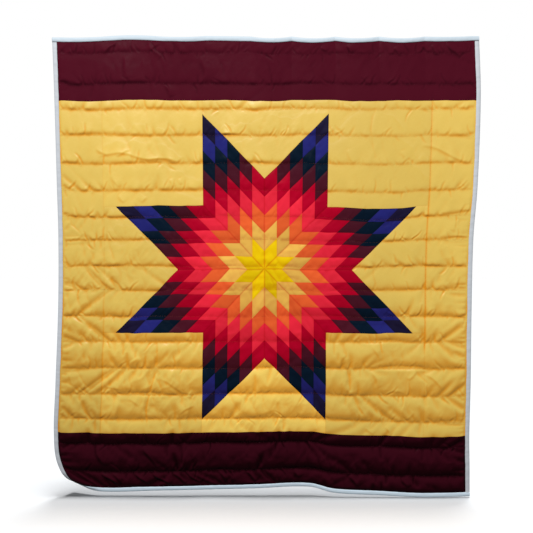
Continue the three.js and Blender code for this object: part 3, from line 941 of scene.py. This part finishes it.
class Nodes:
    """Adds and joins the nodes of one material."""

    def __init__(self, name):
        self.material = bpy.data.materials.new(name)
        self.material.use_nodes = True
        self.tree = self.material.node_tree
        self.place = self.add("ShaderNodeTexCoord").outputs["Object"]

    def add(self, kind, **inputs):
        return self.set(self.tree.nodes.new(kind), inputs)

    def shade(self, **inputs):
        """Sets inputs of the material's shader."""
        self.set(self.tree.nodes["Principled BSDF"], inputs)

    def set(self, node, inputs):
        """Sets or links inputs of a node, with a low line for each space in a name."""
        for name, value in inputs.items():
            socket = node.inputs[name.replace("_", " ")]
            if isinstance(value, bpy.types.NodeSocket):
                self.tree.links.new(value, socket)
            else:
                socket.default_value = value
        return node

    def noise(self, scale, detail, stretched=None):
        """Noise over the piece, finer by a scale each way where it is stretched."""
        place = self.place
        if stretched:
            place = self.add("ShaderNodeMapping", Vector=place, Scale=stretched).outputs["Vector"]
        return self.add("ShaderNodeTexNoise", Vector=place, Scale=scale, Detail=detail).outputs["Fac"]

    def attribute(self, name):
        node = self.add("ShaderNodeAttribute")
        node.attribute_name = name
        return node.outputs["Fac"]

    def spread(self, value, low, high):
        """A value from 0 to 1 spread from low to high."""
        node = self.add("ShaderNodeMapRange", Value=value, To_Min=low, To_Max=high)
        node.clamp = False
        return node.outputs["Result"]

    def product(self, one, other):
        node = self.add("ShaderNodeMath")
        node.operation = "MULTIPLY"
        self.tree.links.new(one, node.inputs[0])
        self.tree.links.new(other, node.inputs[1])
        return node.outputs["Value"]

    def tinted(self, colour, value):
        """A colour made lighter or darker by a value about 1."""
        node = self.add("ShaderNodeHueSaturation", Value=value, Color=colour)
        return node.outputs["Color"]


def satin(name, colour, deep, roughness=0.4, gloss=0.35, sheen=0.06, mottle=0.07, crumple=0.3):
    """Satin cloth: long floats with a soft gloss, faint slubs, a painted sheen on each piece, and painted
    shade, a deeper colour, where the cloth turns down and in its hollows.
    """
    make = Nodes(name)
    broad = make.noise(5.0, 2.0)
    fine = make.noise(70.0, 4.0)
    slubs = make.noise(1.0, 1.0, (900.0, 900.0, 60.0))
    painted_shade_share = make.attribute("deep")
    colour_with_shade = make.add("ShaderNodeMixRGB", Fac=painted_shade_share, Color1=linear(colour), Color2=linear(deep))
    uneven = make.product(make.spread(broad, 1 - mottle, 1 + mottle), make.spread(slubs, 0.97, 1.03))
    uneven = make.product(uneven, make.spread(make.attribute("tone"), 1.0, 1.0 + SHEEN_STEP))
    weave = make.add("ShaderNodeTexWave", Vector=make.place, Scale=420.0, Distortion=1.5, Detail=1.0)
    weave.bands_direction = "X"
    woven = make.add("ShaderNodeBump", Strength=0.06, Distance=0.0003, Height=weave.outputs["Fac"])
    hand = make.add(
        "ShaderNodeBump", Strength=crumple, Distance=0.0009, Height=fine, Normal=woven.outputs["Normal"]
    )
    make.shade(
        Base_Color=make.tinted(colour_with_shade.outputs["Color"], uneven),
        Roughness=make.spread(fine, roughness - 0.07, roughness + 0.07),
        Normal=hand.outputs["Normal"],
        Specular_IOR_Level=gloss,
        Sheen_Weight=sheen,
        Sheen_Roughness=0.35,
        Anisotropic=0.35,
    )
    return make.material


def grained(name, colour, scale, detail, uneven, roughness, gloss):
    """A plain material with a fine uneven grain."""
    make = Nodes(name)
    grain = make.spread(make.noise(scale, detail), 1 - uneven, 1 + uneven)
    make.shade(
        Base_Color=make.tinted(linear(colour), grain), Roughness=roughness, Specular_IOR_Level=gloss
    )
    return make.material


def shaded_colour(colour, shares):
    return tuple(part * share for part, share in zip(colour, shares))


star_cloths = []
for row in STAR_ROWS:
    colour = (row.red, row.green, row.blue)
    # Each star colour's painted shade colour.
    star_shade = shaded_colour(colour, STAR_SHADE_SHARES)
    star_cloths.append(satin(row.name, colour, star_shade, gloss=0.05, sheen=0.0, mottle=0.05))
gold = satin("gold_satin", GOLD, GOLD_SHADE)
maroon_top_shade = shaded_colour(MAROON_TOP, MAROON_SHADE_SHARES)
maroon_top = satin("maroon_satin", MAROON_TOP, maroon_top_shade, gloss=0.012, sheen=0.0)
# The bottom band's maroon: a darker copy of the top one, painted shade.
maroon_bottom_shaded = satin("maroon_satin_low", MAROON_BOTTOM_SHADED, MAROON_SHADE, gloss=0.03, sheen=0.0)
# The top and bottom bindings take copies of the binding cloth with painted light.
pale, pale_top_painted_light, pale_low_painted_light = (
    satin(name, colour, colour, roughness=0.5, gloss=0.2, mottle=0.04, crumple=0.25)
    for name, colour in (
        ("pale_binding_cloth", PALE), ("pale_binding_top", PALE_TOP_PAINTED_LIGHT), ("pale_binding_low", PALE_LOW_PAINTED_LIGHT)
    )
)
backing = satin("pale_backing_cloth", PALE, PALE, roughness=0.6, gloss=0.2, mottle=0.05, crumple=0.2)
thread_gold, thread_orange, thread_maroon = (
    grained(name, colour, 900.0, 2.0, uneven=0.15, roughness=0.5, gloss=0.3)
    for name, colour in (
        ("quilting_thread_gold", THREAD_GOLD),
        ("seam_thread_orange", THREAD_ORANGE),
        ("quilting_thread_maroon", THREAD_MAROON),
    )
)


def sheen_of_piece(name, v):
    """Painted sheen on one piece's faces, as its satin lies and catches the light, at its low and high end.
    """
    share = ((v - v.min()) / (v.max() - v.min()))[:-1, :-1]
    tone = np.zeros(share.shape)
    for row in PANEL_SHEEN:
        if row.panel == name:
            tone = row.low + (row.high - row.low) * share
    return tone


def rectangle_panel(name, across, up, material, sewn):
    """A rectangular piece on levels across and up; sewn names the sides that are seams."""
    u, v = np.meshgrid(across, up)
    gaps = {"left": u - across[0], "right": across[-1] - u, "low": v - up[0], "high": up[-1] - v}
    from_seam = np.min([gaps[side] for side in sewn], axis=0)
    tone = sheen_of_piece(name, v)
    front_panel(name + "_cloth", name, u, v, from_seam, [material], tone=tone)


def set_triangle(name, turn, seam):
    """A setting triangle, carried on from the star's tips to the next seam."""
    across = steps(-STAR_HALF, STAR_HALF)
    t = np.linspace(0, 1, round((seam - STAR_SIDE) / MESH_STEP) + 1)
    a = np.repeat(across[None, :], len(t), axis=0)
    low = STAR_SIDE + np.abs(a)
    b = low + (seam - low) * t[:, None]
    from_seam = np.min([seam - b, (b - low) * math.sqrt(0.5), STAR_HALF - np.abs(a)], axis=0)
    cos, sin = round(math.cos(turn * math.pi / 2)), round(math.sin(turn * math.pi / 2))
    u, v = a * cos - b * sin, a * sin + b * cos
    tone = sheen_of_piece(name, v)
    front_panel(name + "_cloth", name, u, v, from_seam, [gold], tone=tone)


def star_point(eighth):
    """One point of the star: diamonds in rows of one colour, counted from the star's middle."""
    along = np.arange(DIAMONDS * PER_DIAMOND + 1) / PER_DIAMOND
    first = eighth * math.pi / 4
    second = first + math.pi / 4
    i, j = np.meshgrid(along, along)
    side = STAR_SIDE / DIAMONDS
    u = (i * math.cos(first) + j * math.cos(second)) * side
    v = (i * math.sin(first) + j * math.sin(second)) * side
    to_line = np.minimum(np.abs(i - np.round(i)), np.abs(j - np.round(j)))
    from_seam = to_line * side * math.sqrt(0.5)
    to_edge = np.min([i, j, DIAMONDS - i, DIAMONDS - j], axis=0) * side * math.sqrt(0.5)
    cell = np.arange(DIAMONDS * PER_DIAMOND) // PER_DIAMOND
    picks = cell[None, :] + cell[:, None]
    patch_sheens = lots(40 + eighth).uniform(*PATCH_SHEEN, (DIAMONDS, DIAMONDS))
    tone = patch_sheens[cell[:, None], cell[None, :]]
    name = f"star_point_{eighth + 1}"
    front_panel(
        name + "_patches", name, u, v, from_seam, star_cloths, picks, tone,
        to_edge,
    )


full_across = steps(
    -HALF_WIDTH, -SIDE_SEAM, -STAR_TIP, -STAR_HALF, STAR_HALF, STAR_TIP, SIDE_SEAM, HALF_WIDTH
)
full_up = steps(-BAND_SEAM, -STAR_TIP, -STAR_HALF, STAR_HALF, STAR_TIP, BAND_SEAM)
rectangle_panel(
    "band_top", full_across, steps(BAND_SEAM, HALF_HEIGHT), maroon_top, ["low"]
)
rectangle_panel(
    "band_bottom", full_across, steps(-HALF_HEIGHT, -BAND_SEAM), maroon_bottom_shaded, ["high"]
)
for side, strip, square, seam in (
    ("left", (-HALF_WIDTH, -SIDE_SEAM), (-SIDE_SEAM, -STAR_TIP, -STAR_HALF), "right"),
    ("right", (SIDE_SEAM, HALF_WIDTH), (STAR_HALF, STAR_TIP, SIDE_SEAM), "left"),
):
    rectangle_panel(
        f"side_strip_{side}", steps(*strip), full_up, gold, ["low", "high", seam]
    )
    for end, level in (
        ("top", (STAR_HALF, STAR_TIP, BAND_SEAM)),
        ("bottom", (-BAND_SEAM, -STAR_TIP, -STAR_HALF)),
    ):
        rectangle_panel(
            f"corner_square_{end}_{side}", steps(*square), steps(*level), gold,
            ["left", "right", "low", "high"],
        )
for turn, (name, seam) in enumerate(
    (("top", BAND_SEAM), ("left", SIDE_SEAM), ("bottom", BAND_SEAM), ("right", SIDE_SEAM))
):
    set_triangle(f"set_triangle_{name}", turn, seam)
for eighth in range(8):
    star_point(eighth)


def back_cloth():
    """The plain back, one cloth, raised less than the front between the rows."""
    across = evenly(-INNER_WIDTH - BACK_UNDER, INNER_WIDTH + BACK_UNDER, BACK_STEP[0])
    up = evenly(-INNER_HEIGHT - BACK_UNDER, INNER_HEIGHT + BACK_UNDER, BACK_STEP[1])
    u, v = np.meshgrid(across, up)
    rise = relief.at(-u, v)[2]
    ease = share_of(from_binding(u, v) / BACK_EASE)
    depth = STITCHED_HALF + BACK_FULL * np.maximum(rise, 0) * ease
    seen = place(u, v, -depth)[:, ::-1]
    hidden = place(u, v, -depth + CLOTH)[:, ::-1]
    piece = closed_sheet("quilt_back", seen, hidden, 1, [backing])


back_cloth()

# The binding's section: its outside from the front seam round the edge to the back, then its inside.
BINDING_SECTION = rows(
    "inwards offset",
    (20.6, 2.3), (20.0, 3.3), (15.0, 4.3), (8.0, 4.5), (2.5, 3.7), (-0.6, 2.0), (-1.5, 0.0),
    (-0.6, -2.0), (2.5, -3.5), (9.0, -3.9), (16.0, -3.6), (20.0, -3.0), (20.6, -2.2), (8.0, -2.0),
    (0.2, -1.4), (0.2, 1.4), (8.0, 2.1),
)
BINDING_OUTSIDE = 13

# How many points of the strip one wave takes, and how far it moves the seam and swells the middle.
BINDING_NOISE = rows("points seam plump", (14, 1.0, 0), (5, 0, 0.22), (2.2, 0.4, 0.14))


def binding(name, along, corner, inwards, seed, material):
    """A strip folded over one edge: along gives places on it, and inwards the way to the quilt."""
    rng = np.random.RandomState(seed)
    count = len(along)
    seam = plump = 0
    for row in BINDING_NOISE:
        noise = smooth_noise((1, count), (0, count / row.points), rng)[0]
        seam = seam + row.seam * noise
        plump = plump + row.plump * noise
    into = column(BINDING_SECTION, "inwards")[None, :] * np.ones((count, 1))
    offset = column(BINDING_SECTION, "offset")[None, :] * np.ones((count, 1))
    near_seam = share_of(into / 20)
    into = into + near_seam * seam[:, None]
    belly_share = share_of(1 - np.abs(into - 9) / 12)
    outer = np.arange(len(BINDING_SECTION)) < BINDING_OUTSIDE
    offset = offset * (1 + plump[:, None] * belly_share * outer)
    u = np.where(inwards[0] != 0, corner + into * inwards[0], along[:, None])
    v = np.where(inwards[1] != 0, corner + into * inwards[1], along[:, None])
    points = place(u, v, offset)
    ring = len(BINDING_SECTION)
    index = np.arange(count * ring).reshape(count, ring)
    after = np.roll(index, -1, axis=1)
    quads = np.stack([index[:-1], index[1:], after[1:], after[:-1]], -1).reshape(-1, 4)
    ends = [index[0][::-1].tolist(), index[-1].tolist()]
    flip = inwards in ((1, 0), (0, -1))
    faces = [list(q[::-1]) if flip else list(q) for q in quads.tolist()]
    faces += [end[::-1] if flip else end for end in ends]
    piece = add_mesh(name + "_strip", points.reshape(-1, 3), faces, [material])
    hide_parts(name)


side_along = evenly(-INNER_HEIGHT + 0.3, INNER_HEIGHT - 0.3)
full_along = evenly(-HALF_WIDTH - 1.5, HALF_WIDTH + 1.5)
binding("binding_left", side_along, -HALF_WIDTH, (1, 0), 21, pale)
binding("binding_right", side_along, HALF_WIDTH, (-1, 0), 22, pale)
binding("binding_top", full_along, HALF_HEIGHT, (0, -1), 23, pale_top_painted_light)
binding("binding_bottom", full_along, -HALF_HEIGHT, (0, 1), 24, pale_low_painted_light)


# Stitches: the step from one to the next, their length and thickness, and how proud of the cloth they lie.
QUILTING_STITCH, SEAM_STITCH = rows("step long thick proud", (4.8, 3.4, 0.7, 0.15), (6.0, 5.2, 2.0, 0.2))
STITCH_UNEVEN = 0.4
OFF_SEAM = 50.0


def stitches(name, u, v, from_seam, stitch, along, thread):
    """A run of short stitches: spindles of thread laid along the cloth."""
    shift_u, shift_v, rise, _ = front_rise(u, v, np.full(len(u), from_seam))
    u, v = u + shift_u, v + shift_v
    middle = place(u, v, rise + stitch.proud)
    normal, across = facing(u, v)
    up = np.cross(normal, across)
    way = unit(across * along[0] + up * along[1])
    side = np.cross(way, normal)
    half = stitch.long * 0.5 * MM
    wide = stitch.thick * 0.5 * MM
    corners = [
        middle - way * half - normal * wide,
        middle + side * wide,
        middle + normal * wide,
        middle - side * wide,
        middle - normal * wide,
        middle + way * half - normal * wide,
    ]
    points = np.stack(corners, 1).reshape(-1, 3)
    pattern = np.array(
        [[0, 2, 1], [0, 3, 2], [0, 4, 3], [0, 1, 4], [5, 1, 2], [5, 2, 3], [5, 3, 4], [5, 4, 1]]
    )
    faces = (pattern[None] + 6 * np.arange(len(middle))[:, None, None]).reshape(-1, 3)
    piece = add_mesh(name, points, faces, [thread])


def quilting_stitches(name, lines, thread):
    rng = lots(1)
    across = np.arange(-INNER_WIDTH + 4, INNER_WIDTH - 4, QUILTING_STITCH.step)
    u = np.concatenate([across + rng.uniform(-STITCH_UNEVEN, STITCH_UNEVEN, len(across)) for _ in lines])
    v = np.repeat(np.array(lines, float), len(across))
    stitches(name, u, v, OFF_SEAM, QUILTING_STITCH, (1, 0), thread)


def seam_stitches(name, across, low, high):
    """Orange stitching that shows along an upright seam."""
    v = np.arange(low, high, SEAM_STITCH.step)
    u = np.full(len(v), across)
    stitches(name, u, v, 0.0, SEAM_STITCH, (0, 1), thread_orange)


seam_stitches("seam_stitches_right", SIDE_SEAM, -370, 790)
levels = column(QUILTING, "height")
in_bands = np.abs(levels) > BAND_SEAM
quilting_stitches("quilting_stitches_field", levels[~in_bands], thread_gold)
quilting_stitches("quilting_stitches_bands", levels[in_bands], thread_maroon)


def white_world():
    """A white room that is seen bright and lights softly."""
    world = bpy.data.worlds.new("white_room")
    bpy.context.scene.world = world
    world.use_nodes = True
    tree = world.node_tree
    lights = tree.nodes["Background"]
    seen = tree.nodes.new("ShaderNodeBackground")
    for background in (lights, seen):
        background.inputs["Color"].default_value = (1, 1, 1, 1)
    lights.inputs["Strength"].default_value = ROOM_LIGHT
    path = tree.nodes.new("ShaderNodeLightPath")
    mix = tree.nodes.new("ShaderNodeMixShader")
    tree.links.new(path.outputs["Is Camera Ray"], mix.inputs["Fac"])
    tree.links.new(lights.outputs["Background"], mix.inputs[1])
    tree.links.new(seen.outputs["Background"], mix.inputs[2])
    tree.links.new(mix.outputs["Shader"], tree.nodes["World Output"].inputs["Surface"])


def lamp(name, kind, at, aim, strength, size, floor, ground):
    """A lamp at one point, aimed at another, that leaves the floor out or lights it alone."""
    light = bpy.data.lights.new(name, kind)
    light.energy = strength
    if kind == "SUN":
        light.angle = size
    else:
        light.shape = "DISK"
        light.size = size
    holder = bpy.data.objects.new(name, light)
    holder.location = at
    holder.rotation_euler = (Vector(at) - Vector(aim)).to_track_quat("Z", "Y").to_euler()
    bpy.context.scene.collection.objects.link(holder)
    reach = bpy.data.collections.new(name + "_reach")
    reach.objects.link(ground)
    reach.collection_objects[0].light_linking.link_state = floor
    holder.light_linking.receiver_collection = reach


def floor():
    """A plain pale floor just under the quilt, which doesn't light it."""
    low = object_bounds()[0][2] - FLOOR_DROP
    mesh = bpy.data.meshes.new("floor")
    ways = ((-1, -1), (1, -1), (1, 1), (-1, 1))
    mesh.from_pydata([(x * FLOOR_HALF, y * FLOOR_HALF, low) for x, y in ways], [], [(0, 1, 2, 3)])
    mesh.materials.append(grained("white_floor", FLOOR, 30.0, 3.0, uneven=0.01, roughness=0.9, gloss=0.05))
    ground = bpy.data.objects.new("floor", mesh)
    ground.visible_diffuse = False
    ground.visible_glossy = False
    bpy.context.scene.collection.objects.link(ground)
    ground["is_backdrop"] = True
    return ground


white_world()
ground = floor()
for row in LAMPS:
    lamp(*row, ground)

camera = bpy.data.cameras.new("camera")
camera.sensor_width = SENSOR
camera.lens = SENSOR * CAMERA_AWAY / FRAME_WIDE
camera.clip_end = SEES_TO
eye = bpy.data.objects.new("camera", camera)
eye.location = (
    FRAME_MIDDLE_U * MM - TOP_MIDDLE[0] * MM,
    -CAMERA_AWAY - TOP_MIDDLE[1] * MM,
    (FRAME_MIDDLE_V - TOP_MIDDLE[2]) * MM,
)
eye.rotation_euler = (math.pi / 2, 0, 0)
bpy.context.scene.collection.objects.link(eye)
bpy.context.scene.camera = eye
bpy.context.scene.view_settings.view_transform = "Standard"
